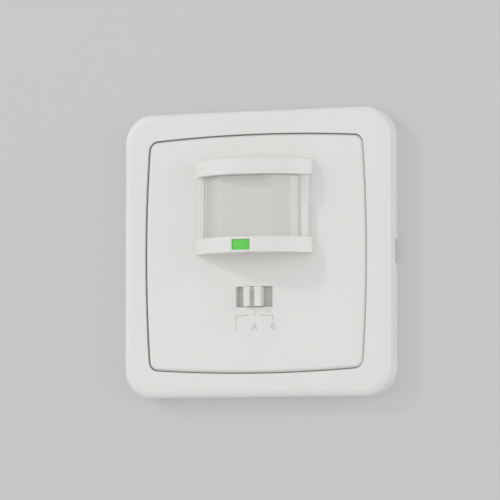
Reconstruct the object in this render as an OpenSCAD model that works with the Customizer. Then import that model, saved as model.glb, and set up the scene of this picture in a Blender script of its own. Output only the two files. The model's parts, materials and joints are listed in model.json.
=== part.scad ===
// Flush wall switch with a motion sensor. A square cover frame holds a bowed centre plate with a
// lens turret and a three-position slide, and the electronics sit in a housing for a 60 mm wall box.
// x runs to the right, z runs up and y runs into the wall. The origin is the middle of the wall plane.

/* [Cover frame] */
// Width and height of the cover frame
frame_w = 80; // [79:0.5:90]
// Depth of the cover frame, from the wall to its front
frame_d = 6; // [5.6:0.1:8]
// Radius of the frame's outer corners, seen from the front
frame_corner_r = 10; // [6:0.5:14]
// Thickness of the frame's front wall and of its skirt
frame_wall = 2; // [1.6:0.1:2.4]
// Width of the rounded outer edge, seen from the front
edge_w = 2.6; // [1.5:0.1:3]
// Depth of the rounded outer edge
edge_d = 1.3; // [0.8:0.1:2]
// Width of the frame's front at the middle of a side
rim_w = 6.55; // [6:0.05:7.1]
// Radius of the bowed sides of the opening
bow_r = 427; // [250:1:900]
// Corner radius of the opening
opening_corner_r = 2.8; // [2.2:0.1:5]
// Width of the ledge that the centre plate rests on
ledge_w = 1.8; // [1.2:0.1:2.2]
// Thickness of that ledge
ledge_t = 1.2; // [0.8:0.1:1.4]
// Width of the pry notch at the wall edge
notch_w = 6.7; // [5:0.1:10]
// Depth of the pry notch
notch_d = 1.25; // [0.8:0.05:2]

/* [Centre plate] */
// Gap between the plate and the frame
plate_gap = 0.25; // [0.2:0.05:0.6]
// Thickness of the plate
plate_t = 2; // [1.6:0.1:2.2]
// Radius of the plate's front edge
plate_edge_r = 1.2; // [0.6:0.1:1.4]
// Width of a snap arm
arm_w = 4; // [3:0.1:5]
// Thickness of a snap arm
arm_t = 1.2; // [0.9:0.1:1.3]
// Reach of a snap arm's hook
hook_w = 0.7; // [0.4:0.1:0.9]

/* [Lens turret] */
// Height of the middle of the turret above the centre
turret_z = 12.8; // [12.4:0.1:13.2]
// Half the length of the two bowed bars
bar_half = 17.6; // [17:0.1:19]
// Height of a bar
bar_h = 4.4; // [4.2:0.1:4.8]
// How far a bar stands out of the plate at its middle
bar_reach = 10.4; // [9.6:0.1:12]
// How far a bar stands out at its ends
bar_end = 0.6; // [0.3:0.1:1]
// Front wall of a bar
bar_wall = 1.6; // [1.2:0.1:2]
// Height of the lens window between the bars
window_h = 17.4; // [16.6:0.1:18]
// Half the width of the lens window
window_half = 14.65; // [14.2:0.05:14.9]
// Width of the cheek posts beside the window
post_w = 1.85; // [1.2:0.05:2]
// How far the cheek posts stand out of the plate
post_reach = 1.9; // [1.2:0.1:2.4]

/* [Lens] */
// Thickness of the lens
lens_t = 0.8; // [0.6:0.1:1]
// Half the width of the front facet
lens_front_half = 7.8; // [7:0.1:8.6]
// How far the front facet stands out of the plate
lens_front_reach = 6.55; // [6:0.05:7.2]
// Half the width across the knees between the side facets
lens_knee_half = 12.3; // [11.8:0.1:12.6]
// How far the knees stand out
lens_knee_reach = 3.65; // [3.2:0.05:4.2]
// How far the foot of the outer facets stands out
lens_foot_reach = 0.8; // [0.4:0.05:1.2]
// Width of the lip behind the plate
lip_w = 1.2; // [0.8:0.1:1.3]
// Thickness of the lens lip and of the light guide's lip
lip_t = 0.8; // [0.6:0.1:1]
// Thickness of the retainer behind the lips
retainer_t = 0.9; // [0.7:0.1:1]
// Radius of the heat stakes that hold the retainer
stake_r = 0.8; // [0.6:0.05:1]

/* [Indicator] */
// Width of the light guide
guide_w = 5.2; // [4.4:0.1:6]
// Height of the light guide
guide_h = 2.6; // [2.2:0.1:2.8]
// How far its face lies behind the bar's front
guide_recess = 0.25; // [0.1:0.05:0.5]
// Radius of the lamp behind the guide
led_r = 1.5; // [1.2:0.1:1.5]
// Length of the lamp from the board
led_len = 5.3; // [5:0.1:5.6]

/* [Slide switch] */
// Width of the slot in the plate
slot_w = 10.85; // [10.2:0.05:12]
// Height of the slot in the plate
slot_h = 5.7; // [5.4:0.1:6]
// Height of the slot's middle, below the centre
slot_z = -12.1; // [-12.6:0.1:-11.8]
// Width of the knob
knob_w = 5.2; // [4.8:0.1:5.6]
// Gap above and below the knob in its slot
knob_gap = 0.2; // [0.1:0.05:0.3]
// How far the knob's ridges stand out of the plate
knob_reach = 1.9; // [1.2:0.1:3]
// Width of each grip ridge
ridge_w = 1.75; // [1.4:0.05:2]
// Depth of the groove between the ridges
groove_d = 2; // [0.8:0.1:2.4]
// Travel from one switch position to the next
slide_step = 2; // [1.8:0.1:2.2]
// Thickness of the shutter behind the slot
shutter_t = 0.8; // [0.6:0.1:1]
// Length of the slide switch's shell
switch_w = 13; // [12.6:0.1:14]
// Width of the slide switch's shell
switch_h = 6.6; // [6:0.1:6.8]
// Height of the slide switch above the board
switch_d = 3.4; // [3.2:0.1:3.6]
// Wall of the slide switch's shell
switch_wall = 0.4; // [0.3:0.05:0.5]
// Side of the square lever on the slide switch
lever_w = 1.8; // [1.6:0.1:2]

/* [Sensor board] */
// Thickness of the inner cover
cover_t = 1.4; // [1.2:0.1:1.6]
// Distance from the inner cover to the sensor board
post_len = 3.8; // [3.7:0.1:4.2]
// Thickness of both circuit boards
board_t = 1.6; // [1.2:0.1:2]
// Radius of the sensor can
can_r = 4.1; // [3.8:0.1:4.4]
// Height of the sensor can
can_h = 4.2; // [3.8:0.1:4.6]
// Width of the sensor can's window
eye_w = 4; // [3:0.1:4.6]
// Radius of the light sensor
cell_r = 2.5; // [2:0.1:2.6]
// Side of a trimmer's base
trimmer_w = 6.6; // [6:0.1:6.8]
// Distance of each trimmer from the middle
trimmer_x = 12.2; // [11.8:0.1:12.3]
// Radius of a trimmer's rotor
rotor_r = 2.5; // [2:0.1:2.7]

/* [Power board] */
// Distance between the two boards
board_space = 4.4; // [3.6:0.1:6]
// Room for parts behind the power board
part_room = 13.9; // [13.4:0.1:18]
// Length, width and height of the relay
relay_size = [17.6, 10.1, 12.5]; // [8:0.1:18]
// Length, width and height of the film capacitor
film_size = [18, 8, 12.5]; // [7:0.1:18.4]
// Radius of the bulk capacitor
bulk_r = 4; // [3:0.1:4.2]
// Height of the bulk capacitor
bulk_h = 11.5; // [9:0.5:13]
// Radius of the surge varistor
varistor_r = 4.5; // [3.5:0.1:4.6]

/* [Wall fixing] */
// Gap between the support plate and the frame's skirt
support_room = 0.5; // [0.3:0.1:1]
// Thickness of the support plate
support_t = 1.2; // [1:0.1:1.4]
// Distance between two box screws
screw_pitch = 60; // [59:0.1:61]
// Length of a screw slot, end to end
screw_slot_len = 6.4; // [5:0.1:6.8]
// Half the width of a screw slot
screw_slot_r = 1.85; // [1.6:0.05:2.2]

/* [Rear housing] */
// Width of the housing
housing_w = 45; // [44.6:0.1:46]
// Height of the housing
housing_h = 49; // [48.4:0.1:50]
// Radius of the round that trims the housing's corners
housing_r = 28.5; // [28.2:0.1:29]
// Wall of the housing
housing_wall = 1.5; // [1.2:0.1:1.6]
// Height of the terminal recess's roof, below the centre
recess_z = -9.5; // [-10:0.1:-9]
// Distance of the screw bosses from the sides of the housing
boss_in = 4.2; // [4:0.1:4.6]
// Distance of the screw bosses from the round that trims its corners
boss_round = 3.5; // [3.2:0.1:4]

/* [Terminals] */
// Distance between two terminals
pole_pitch = 8.5; // [8:0.1:9]
// Width of the terminal block
block_w = 28; // [27.6:0.1:30]
// Height of the terminal block
block_h = 10.6; // [10.2:0.1:11.4]
// Radius of a wire entry
wire_r = 1.6; // [1.3:0.05:1.7]
// Travel of a wire clamp
clamp_travel = 2.4; // [1.6:0.1:2.6]
// Radius of a terminal screw
clamp_screw_r = 1.5; // [1.2:0.05:1.6]

/* [Hidden] */
$fn = 48;

// Clearances: a seat, a loose fit, a running fit, a tight fit, a well, and the overshoot of a cut
seat_gap = 0.1;
loose_gap = 0.25;
run_gap = 0.1;
tight_gap = 0.05;
well_gap = 0.2;
cut = 1;

// Turn from one facet to the next on a rounded front edge
edge_step = 9;

// Colours
white = [0.86, 0.86, 0.85];
milky = [0.8, 0.8, 0.79];
green = [0.38, 0.8, 0.36];
steel = [0.72, 0.73, 0.75];
brass = [0.78, 0.62, 0.32];
board_green = [0.1, 0.35, 0.2];
black = [0.12, 0.12, 0.13];
grey = [0.55, 0.56, 0.57];
blue = [0.15, 0.35, 0.65];
pale_blue = [0.45, 0.6, 0.75];
yellow = [0.8, 0.7, 0.2];
brown = [0.7, 0.45, 0.3];

// Depths from the front of the plate to the back of the housing
y_front = -frame_d;
plate_back = y_front + plate_t;
lip_back = plate_back + lip_t;
retainer_back = lip_back + retainer_t;
cover_front = retainer_back + seat_gap;
cover_back = cover_front + cover_t;
board_front = cover_back + post_len;
board_back = board_front + board_t;
power_front = board_back + board_space;
power_back = power_front + board_t;
solder_room = 1;
floor_in = power_back + solder_room;
floor_out = floor_in + housing_wall;
rear_in = power_back + part_room;
rear_out = rear_in + housing_wall;
ledge_back = plate_back + ledge_t;

// Opening of the frame, and the support plate inside its skirt
opening_half = frame_w / 2 - rim_w;
support_w = frame_w - 2 * (frame_wall + support_room);
support_r = frame_corner_r - frame_wall - support_room;

// Turret
window_z = [turret_z - window_h / 2, turret_z + window_h / 2];
low_bar_z = [window_z[0] - bar_h, window_z[0]];
top_bar_z = [window_z[1], window_z[1] + bar_h];
led_z = window_z[0] - bar_h / 2;
bar_sag = bar_reach - bar_end;
bar_r = (pow(bar_half, 2) + pow(bar_sag, 2)) / (2 * bar_sag);
bar_y = y_front - bar_reach + bar_r;
bar_skin = (bar_h - guide_h) / 2 - run_gap / 2;
bar_core_half = 11;
lens_half = window_half - run_gap;
lip_half = window_half + lip_w;
retainer_edge = 0.3;
retainer_z = [low_bar_z[0] - retainer_edge, top_bar_z[0] + bar_h / 2];
stake_x = 13.5;
stake_z = [led_z, top_bar_z[0] + stake_r + retainer_edge];
guide_lip = 0.9;
lens_z = [window_z[0] + run_gap, window_z[1] - run_gap];
eye_window_half = lens_half - lens_t;
eye_window_z = [lens_z[0] + lip_w, lens_z[1] - lip_w];

// Slide switch
knob_h = slot_h - 2 * knob_gap;
shutter_lap = 0.6;
shutter_w = slot_w + 2 * (slide_step + shutter_lap);
shutter_edge = 1;
shutter_h = slot_h + 2 * shutter_edge;
shutter_y = [plate_back + run_gap, plate_back + run_gap + shutter_t];
switch_front = board_front - switch_d;
stem_w = 4.4;
stem_h = 3.8;
stem_back = switch_front - loose_gap;
lever_front = shutter_y[1] + run_gap;
slider_w = 5.2;
slider_h = 4.4;
slider_t = 1.3;
slider_front = switch_front + switch_wall + run_gap;
slider_y = [slider_front, slider_front + slider_t];
base_t = 0.9;
contact_w = 3.4;
contact_h = 3;
guide_rail = 1;

// Snap arms and screws
boss_r = 2.4;
step_r = 3.2;
boss_x = housing_w / 2 - boss_in;
boss_z = sqrt(pow(housing_r - boss_round, 2) - pow(boss_x, 2));
arm_room = 1;
arm_side = (housing_w / 2 - housing_wall - lip_half - arm_t - hook_w) / 2;
arm_x = lip_half + arm_side + arm_t / 2;
arm_z = [boss_z - boss_r - arm_room - arm_w / 2, slot_z + trimmer_w / 2 + arm_room + arm_w / 2];
hook_t = 1.6;
hook_back = cover_back + run_gap + hook_t;
screw_r = 1.1;
screw_head_r = 2;
screw_head_t = retainer_t;
screw_end = power_front;
pilot_room = 0.5;
flange_screw_r = 1;
flange_screw_out = 2.8;
flange_screw_turn = 46.3;
flange_screw = (housing_r + flange_screw_out) * [cos(flange_screw_turn), sin(flange_screw_turn)];
flange_edge = [3.2, 3.4];
flange_w = 2 * (flange_screw[0] + flange_edge[0]);
flange_h = 2 * (flange_screw[1] + flange_edge[1]);
flange_r = 3;

// Terminals, from the front of the clamp well to the back of the block
pole_x = [-pole_pitch, 0, pole_pitch];
block_z = [recess_z - well_gap - block_h, recess_z - well_gap];
block_mid = (block_z[0] + block_z[1]) / 2;
jaw_t = 1;
bar_t = 1;
clamp_lift_gap = 0.6;
clamp_top_t = 1.2;
clamp_y0 = floor_out + well_gap;
jaw_back = clamp_y0 + jaw_t;
wire_y = jaw_back + wire_r;
bar_y0 = jaw_back + 2 * wire_r;
bar_back = bar_y0 + bar_t;
clamp_top = bar_back + clamp_lift_gap;
clamp_y1 = clamp_top + clamp_top_t;
well_end = clamp_y1 + clamp_travel + well_gap;
head_sink = 0.3;
clamp_head_r = 2.6;
clamp_head_t = 1.3;
clamp_head_y = rear_out - head_sink - clamp_head_t;
clamp_half = 2.9;
clamp_side_t = 0.8;
clamp_h = 4.6;
tail_room = 0.9;
tail_t = 1;
tail_half = 0.8;
tail_z = [block_z[1] - tail_room - tail_t, block_z[1] - tail_room];
clamp_z = [tail_z[0] - tail_room - clamp_h, tail_z[0] - tail_room];
clamp_mid = (clamp_z[0] + clamp_z[1]) / 2;
bar_width = 2 * (clamp_half - clamp_side_t - well_gap);
bar_foot = 0.3;
peg_r = 1;
peg_in = 1.2;
peg_x = block_w / 2 - peg_in;

// Outlines and simple solids

function span(middle, width) = [middle - width / 2, middle + width / 2];
function turned(p, k) = k == 0 ? p : turned([-p[1], p[0]], k - 1);

// A square with bowed sides: each side is an arc, and each corner arc is tangent to its two sides
function bowed_square(half, side_r, corner_r) =
    let (
        back = side_r - half,
        reach = side_r - corner_r,
        c = (sqrt(2 * reach * reach - back * back) - back) / 2,
        a = atan2(c, c + back),
        side = [for (i = [-6 : 5]) let (t = i * a / 6) [side_r * cos(t) - back, side_r * sin(t)]],
        turn = (90 - 2 * a) / 8,
        corner = [for (i = [0 : 7]) [c, c] + corner_r * [cos(a + i * turn), sin(a + i * turn)]]
    )
    [for (k = [0 : 3]) each [for (p = concat(side, corner)) turned(p, k)]];

// The same outline, drawn in by an equal distance all round
function drawn_in(by) = bowed_square(opening_half - by, bow_r - by, opening_corner_r - by);

function unit(v) = v / norm(v);
function left_of(a, b) = let (d = unit(b - a)) [-d[1], d[0]];

// An open path moved sideways by t, with mitred corners
function beside(path, t) = [
    for (i = [0 : len(path) - 1])
        let (
            j = max(i - 1, 0),
            k = min(i, len(path) - 2),
            n1 = left_of(path[j], path[j + 1]),
            n2 = left_of(path[k], path[k + 1])
        )
        path[i] + t * (n1 + n2) / (1 + n1 * n2)
];

function reversed(list) = [for (i = [len(list) - 1 : -1 : 0]) list[i]];

module block(x, y, z) {
    translate([x[0], y[0], z[0]]) cube([x[1] - x[0], y[1] - y[0], z[1] - z[0]]);
}

// An outline drawn in x and z, given a depth
module slab(y) {
    translate([0, y[1], 0]) rotate([90, 0, 0]) linear_extrude(y[1] - y[0]) children();
}

// A cylinder along y at a point in x and z
module rod(p, y, r) {
    translate([p[0], y[1], p[1]]) rotate([90, 0, 0]) cylinder(h = y[1] - y[0], r = r);
}

module rounded_square(w, h, r) {
    square([w - 2 * r, h], center = true);
    square([w, h - 2 * r], center = true);
    for (x = [-1, 1], z = [-1, 1])
        translate([x * (w / 2 - r), z * (h / 2 - r)]) circle(r);
}

module housing_outline(by) {
    intersection() {
        square([housing_w - 2 * by, housing_h - 2 * by], center = true);
        circle(housing_r - by);
    }
}

module at_bosses() {
    for (x = [-1, 1], z = [-1, 1]) translate([x * boss_x, 0, z * boss_z]) children();
}

module at_flange_screws() {
    for (x = [-1, 1], z = [-1, 1])
        translate([x * flange_screw[0], 0, z * flange_screw[1]]) children();
}

module at_arms() {
    for (x = [-1, 1], z = arm_z) translate([x * arm_x, 0, z]) rotate([0, x < 0 ? 180 : 0, 0]) children();
}

module at_four_sides() {
    for (a = [0 : 90 : 270]) rotate([0, a, 0]) children();
}

// Cover frame

skirt_w = frame_w - 2 * frame_wall;
pad_w = 5;
pad_at = 22;
pad_in = 0.4;
pad_out = 0.6;
pad_z = [opening_half - ledge_w + pad_in, support_w / 2 - pad_out];
relief_w = 11;

// The frame's outside, drawn in towards the front as a quarter ellipse
module frame_outside() {
    hull()
        for (t = [0 : edge_step : 90]) {
            by = edge_w * (1 - cos(t));
            slab([y_front + edge_d * (1 - sin(t)), 0])
                rounded_square(frame_w - 2 * by, frame_w - 2 * by, frame_corner_r - by);
        }
}

module frame_rim() {
    slab([y_front, ledge_back]) polygon(drawn_in(-frame_wall));
    at_four_sides()
        for (x = [-1, 1])
            block(span(x * pad_at, pad_w), [plate_back, -support_t], pad_z);
}

module cover_frame() color(white) difference() {
    frame_outside();
    difference() {
        slab([y_front + frame_wall, cut])
            rounded_square(skirt_w, skirt_w, frame_corner_r - frame_wall);
        frame_rim();
    }
    slab([y_front - cut, plate_back]) polygon(drawn_in(0));
    slab([y_front, ledge_back + cut]) polygon(drawn_in(ledge_w));
    at_four_sides()
        block(span(0, relief_w), [plate_back - cut, cut], [0, opening_half - tight_gap]);
    for (x = [-1, 1])
        block(span(x * frame_w / 2, 2 * frame_wall + cut), [-notch_d, cut], span(0, notch_w));
}

// Centre plate

module plate_body() {
    hull()
        for (t = [0 : edge_step : 90]) {
            by = plate_gap + plate_edge_r * (1 - cos(t));
            slab([y_front + plate_edge_r * (1 - sin(t)), plate_back]) polygon(drawn_in(by));
        }
}

// The bowed outline of a bar in x and y, drawn in from its front by an equal distance
module bar_outline(by, half, back) {
    intersection() {
        translate([0, bar_y]) circle(bar_r - by, $fn = 96);
        translate([-half, y_front - bar_reach - cut])
            square([2 * half, bar_reach + cut + back - y_front]);
    }
}

module bar(z) {
    translate([0, 0, z[0]])
        linear_extrude(z[1] - z[0]) bar_outline(0, bar_half, plate_back - plate_t / 2);
}

module bar_core(z) {
    translate([0, 0, z[0] + bar_skin])
        linear_extrude(z[1] - z[0] - 2 * bar_skin) bar_outline(bar_wall, bar_core_half, plate_back + cut);
}

module snap_arm() {
    block(span(0, arm_t), [plate_back - plate_t / 2, hook_back], span(0, arm_w));
    block([0, arm_t / 2 + hook_w], [cover_back + run_gap, hook_back], span(0, arm_w));
}

module centre_plate() color(white) {
    difference() {
        union() {
            plate_body();
            bar(low_bar_z);
            bar(top_bar_z);
            for (x = [-1, 1])
                block(span(x * (window_half + post_w / 2), post_w),
                    [y_front - post_reach, y_front + cut], [window_z[0] - cut, window_z[1] + cut]);
        }
        block(span(0, 2 * window_half), [y_front - cut, plate_back + cut], window_z);
        bar_core(low_bar_z);
        bar_core(top_bar_z);
        block(span(0, guide_w + run_gap), [y_front - bar_reach - cut, bar_y - bar_r + bar_wall + cut],
            span(led_z, guide_h + run_gap));
        block(span(0, slot_w), [y_front - cut, plate_back + cut], span(slot_z, slot_h));
    }
    at_arms() snap_arm();
    for (z = [-1, 1])
        block(span(0, shutter_w + 2 * slide_step),
            [plate_back - plate_t / 2, plate_back + shutter_t],
            span(slot_z + z * (shutter_h / 2 + loose_gap + guide_rail / 2), guide_rail));
    for (x = [-1, 1], z = stake_z)
        rod([x * stake_x, z], [plate_back - plate_t / 2, retainer_back], stake_r);
}

// Lens with five flat facets, its lips, the retainer and the light guide

lens_path = [
    [-lens_half, lip_back],
    [-lens_half, y_front - lens_foot_reach],
    [-lens_knee_half, y_front - lens_knee_reach],
    [-lens_front_half, y_front - lens_front_reach],
    [lens_front_half, y_front - lens_front_reach],
    [lens_knee_half, y_front - lens_knee_reach],
    [lens_half, y_front - lens_foot_reach],
    [lens_half, lip_back]
];

module fresnel_lens() color(milky) {
    translate([0, 0, lens_z[0]])
        linear_extrude(lens_z[1] - lens_z[0])
            polygon(concat(lens_path, reversed(beside(lens_path, lens_t))));
    for (x = [-1, 1])
        block(span(x * (lens_half + lip_half - lens_t) / 2, lip_half - lens_half + lens_t),
            [plate_back, lip_back], lens_z);
}

module lens_retainer() color(black) difference() {
    block(span(0, 2 * lip_half + arm_side), [lip_back, retainer_back], retainer_z);
    block(span(0, 2 * eye_window_half), [lip_back - cut, retainer_back + cut], eye_window_z);
    rod([0, led_z], [lip_back - cut, retainer_back + cut], led_r + loose_gap);
    for (x = [-1, 1], z = stake_z)
        rod([x * stake_x, z], [lip_back - cut, retainer_back + cut], stake_r + tight_gap);
    at_bosses() rod([0, 0], [lip_back - cut, retainer_back + cut], screw_head_r + loose_gap);
}

module light_guide() color(green) {
    translate([0, 0, led_z - guide_h / 2])
        linear_extrude(guide_h) bar_outline(guide_recess, guide_w / 2, lip_back);
    block(span(0, guide_w + 2 * guide_lip), [plate_back, lip_back], span(led_z, guide_h));
}

// Slide switch: knob with its shutter, and the switch behind it

module switch_knob() color(white) difference() {
    union() {
        block(span(0, knob_w), [y_front - knob_reach, shutter_y[1]], span(slot_z, knob_h));
        block(span(0, shutter_w), shutter_y, span(slot_z, shutter_h));
        block(span(0, stem_w), [shutter_y[0], stem_back], span(slot_z, stem_h));
    }
    block(span(0, knob_w - 2 * ridge_w), [y_front - knob_reach - cut, y_front - knob_reach + groove_d],
        span(slot_z, knob_h + 2 * cut));
    block(span(0, lever_w + run_gap), [shutter_y[1], stem_back + cut], span(slot_z, lever_w + run_gap));
}

module switch_shell() color(steel) difference() {
    block(span(0, switch_w), [switch_front, board_front], span(slot_z, switch_h));
    block(span(0, switch_w - 2 * switch_wall), [switch_front + switch_wall, board_front + cut],
        span(slot_z, switch_h - 2 * switch_wall));
    block(span(0, lever_w + 2 * slide_step + 2 * loose_gap), [switch_front - cut, board_front],
        span(slot_z, lever_w + 2 * run_gap));
}

module switch_base() color(black) {
    block(span(0, switch_w - 2 * switch_wall - run_gap), [board_front - base_t, board_front],
        span(slot_z, switch_h - 2 * switch_wall - run_gap));
}

module switch_lever() color(black) {
    block(span(0, lever_w), [lever_front, slider_y[1]], span(slot_z, lever_w));
    block(span(0, slider_w), slider_y, span(slot_z, slider_h));
}

module switch_contact() color(brass) {
    block(span(0, contact_w), [slider_y[1], board_front - base_t - run_gap], span(slot_z, contact_h));
}

// Inner cover and the sensor board with its parts

trimmer_d = 3.2;
trimmer_front = board_front - trimmer_d;
trimmer_floor = 0.8;
rotor_t = 1.5;
rotor_front = trimmer_front - rotor_t;
rotor_pin_r = 1;
driver_slot_w = 0.8;
driver_slot_d = 0.7;
driver_slot_y = [rotor_front - cut, rotor_front + driver_slot_d];
eye_h = eye_w * 3 / 4;
eye_t = 0.5;
can_front = board_front - can_h;
can_foot = 0.5;
led_foot = 0.4;
led_foot_t = 1;
sight_w = 21;
sight_h = 13;
cell_at = [-7.2, turret_z + 3.6];
cell_t = 2;
chip_size = [10, 1.5, 3.9];
chip_z = (slot_z - switch_h / 2 - housing_h / 2 + housing_wall) / 2;
pin_pitch = 2.54;
pin_r = 0.4;
pin_out = 0.7;
header_room = 3.2;
header_z = slot_z + switch_h / 2 + header_room;

module inner_cover() color(grey) difference() {
    union() {
        slab([cover_front, cover_back]) housing_outline(housing_wall + loose_gap);
        intersection() {
            slab([cover_front, board_front]) housing_outline(housing_wall + loose_gap);
            at_bosses() rod([0, 0], [cover_front, board_front], boss_r);
        }
    }
    at_bosses() rod([0, 0], [cover_front - cut, board_front + cut], screw_r + run_gap);
    block(span(0, sight_w), [cover_front - cut, cover_back + cut], span(turret_z, sight_h));
    rod([0, led_z], [cover_front - cut, cover_back + cut], led_r + loose_gap);
    block(span(0, stem_w + 2 * slide_step + 2 * loose_gap), [cover_front - cut, cover_back + cut],
        span(slot_z, stem_h + 2 * loose_gap));
    for (x = [-1, 1])
        rod([x * trimmer_x, slot_z], [cover_front - cut, cover_back + cut], rotor_r + loose_gap);
    at_arms()
        block(span(0, arm_t + 2 * loose_gap), [cover_front - cut, cover_back + cut],
            span(0, arm_w + 2 * loose_gap));
}

module board(y, hole_r) {
    slab(y)
        difference() {
            housing_outline(housing_wall + 2 * loose_gap);
            for (x = [-1, 1], z = [-1, 1]) translate([x * boss_x, z * boss_z]) circle(hole_r);
            for (i = [-2 : 2]) translate([i * pin_pitch, header_z]) circle(pin_r + run_gap);
        }
}

module sensor_board() color(board_green) board([board_front, board_back], screw_r + run_gap);

module pir_can() color(steel) difference() {
    union() {
        rod([0, turret_z], [can_front, board_front], can_r);
        rod([0, turret_z], [board_front - can_foot, board_front], can_r + can_foot);
    }
    block(span(0, eye_w), [can_front - cut, can_front + eye_t], span(turret_z, eye_h));
}

module pir_window() color(black) {
    block(span(0, eye_w - run_gap), [can_front + tight_gap, can_front + eye_t],
        span(turret_z, eye_h - run_gap));
}

module indicator_led() color(green) {
    rod([0, led_z], [board_front - led_len + led_r, board_front], led_r);
    translate([0, board_front - led_len + led_r, led_z]) sphere(led_r);
    rod([0, led_z], [board_front - led_foot_t, board_front], led_r + led_foot);
}

module light_sensor() color(brown) rod(cell_at, [board_front - cell_t, board_front], cell_r);

module trimmer(x) {
    difference() {
        block(span(x, trimmer_w), [trimmer_front, board_front], span(slot_z, trimmer_w));
        rod([x, slot_z], [trimmer_front - cut, board_front - trimmer_floor], rotor_pin_r + run_gap);
    }
}

module rotor(x) {
    difference() {
        union() {
            rod([x, slot_z], [rotor_front, trimmer_front - run_gap], rotor_r);
            rod([x, slot_z], [rotor_front, board_front - trimmer_floor - well_gap], rotor_pin_r);
        }
        block(span(x, 2 * rotor_r + cut), driver_slot_y, span(slot_z, driver_slot_w));
        block(span(x, driver_slot_w), driver_slot_y, [slot_z, slot_z + rotor_r + cut]);
    }
}

module time_trimmer() color(blue) trimmer(-trimmer_x);
module time_rotor() color(white) rotor(-trimmer_x);
module lux_trimmer() color(blue) trimmer(trimmer_x);
module lux_rotor() color(white) rotor(trimmer_x);

module control_chip() color(black) {
    block(span(0, chip_size[0]), [board_front - chip_size[1], board_front], span(chip_z, chip_size[2]));
}

// Header between the boards

module at_pins() {
    for (i = [-2 : 2]) translate([i * pin_pitch, 0, header_z]) children();
}

module header_spacer() color(black) difference() {
    block(span(0, 5 * pin_pitch), [board_back, power_front], span(header_z, pin_pitch));
    at_pins() rod([0, 0], [board_back - cut, power_front + cut], pin_r + tight_gap);
}

module header_pins() color(brass)
    at_pins() rod([0, 0], [board_front - pin_out, power_back + pin_out], pin_r);

// Power board and its parts, spread evenly between the header and the top of the housing

bridge_size = [8.5, 6.2, 3.3];
resistor_r = 2;
resistor_len = 10;
varistor_t = 3.6;
side_room = 2.7;
varistor_room = 3.8;
stack_z = [header_z + pin_pitch / 2, housing_h / 2 - housing_wall];
right_gap = (stack_z[1] - stack_z[0] - film_size[1] - bridge_size[1] - 2 * bulk_r) / 4;
film_at = [0, stack_z[1] - right_gap - film_size[1] / 2];
film_low = film_at[1] - film_size[1] / 2;
bridge_x = 8;
bridge_at = [bridge_x, film_low - right_gap - bridge_size[1] / 2];
bulk_x = 6.6;
bulk_at = [bulk_x, stack_z[0] + right_gap + bulk_r];
left_gap = (film_low - stack_z[0] - relay_size[1] - 2 * resistor_r) / 3;
resistor_at = [-bridge_x, film_low - left_gap - resistor_r];
relay_x = relay_size[0] / 2 + side_room + housing_wall - housing_w / 2;
relay_at = [relay_x, stack_z[0] + left_gap + relay_size[1] / 2];
varistor_at = [housing_w / 2 - housing_wall - varistor_room - varistor_t / 2, 0];
lead_r = 0.4;
lead_in = 1;
lead_rise = 1.5;

module power_board() color(board_green) board([power_front, power_back], boss_r + run_gap);

// A box on the power board, given its length, width and height
module on_power_board(at, size) {
    block(span(at[0], size[0]), [power_back, power_back + size[2]], span(at[1], size[1]));
}

module relay() color(blue) on_power_board(relay_at, relay_size);

module film_capacitor() color(yellow) on_power_board(film_at, film_size);

module bulk_capacitor() color(black) rod(bulk_at, [power_back, power_back + bulk_h], bulk_r);

module varistor() color(blue) {
    translate([varistor_at[0] - varistor_t / 2, power_back + lead_rise + varistor_r, varistor_at[1]])
        rotate([0, 90, 0]) cylinder(h = varistor_t, r = varistor_r);
    for (z = [-1, 1])
        rod([varistor_at[0], varistor_at[1] + z * varistor_r / 2],
            [power_back, power_back + lead_rise + varistor_r / 2], lead_r);
}

module fuse_resistor() color(pale_blue) {
    translate([resistor_at[0] - resistor_len / 2, power_back + lead_rise + resistor_r, resistor_at[1]])
        rotate([0, 90, 0]) cylinder(h = resistor_len, r = resistor_r);
    for (x = [-1, 1])
        rod([resistor_at[0] + x * (resistor_len / 2 - lead_in), resistor_at[1]],
            [power_back, power_back + lead_rise + resistor_r], lead_r);
}

module bridge_rectifier() color(black) on_power_board(bridge_at, bridge_size);

// Support plate, rear housing and their screws

module screw_slot() {
    travel = screw_slot_len / 2 - screw_slot_r;
    square([2 * travel, 2 * screw_slot_r], center = true);
    for (x = [-1, 1]) translate([x * travel, 0]) circle(screw_slot_r);
}

module support_plate() color(steel) slab([-support_t, 0]) difference() {
    rounded_square(support_w, support_w, support_r);
    housing_outline(-loose_gap);
    for (a = [0 : 90 : 270]) rotate(a) translate([screw_pitch / 2, 0]) screw_slot();
    for (x = [-1, 1], z = [-1, 1])
        translate([x * flange_screw[0], z * flange_screw[1]]) circle(flange_screw_r + tight_gap);
}

module support_screws() color(steel) at_flange_screws() {
    rod([0, 0], [cover_front, -run_gap], flange_screw_r);
    rod([0, 0], [cover_front - screw_head_t, cover_front], screw_head_r);
}

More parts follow.
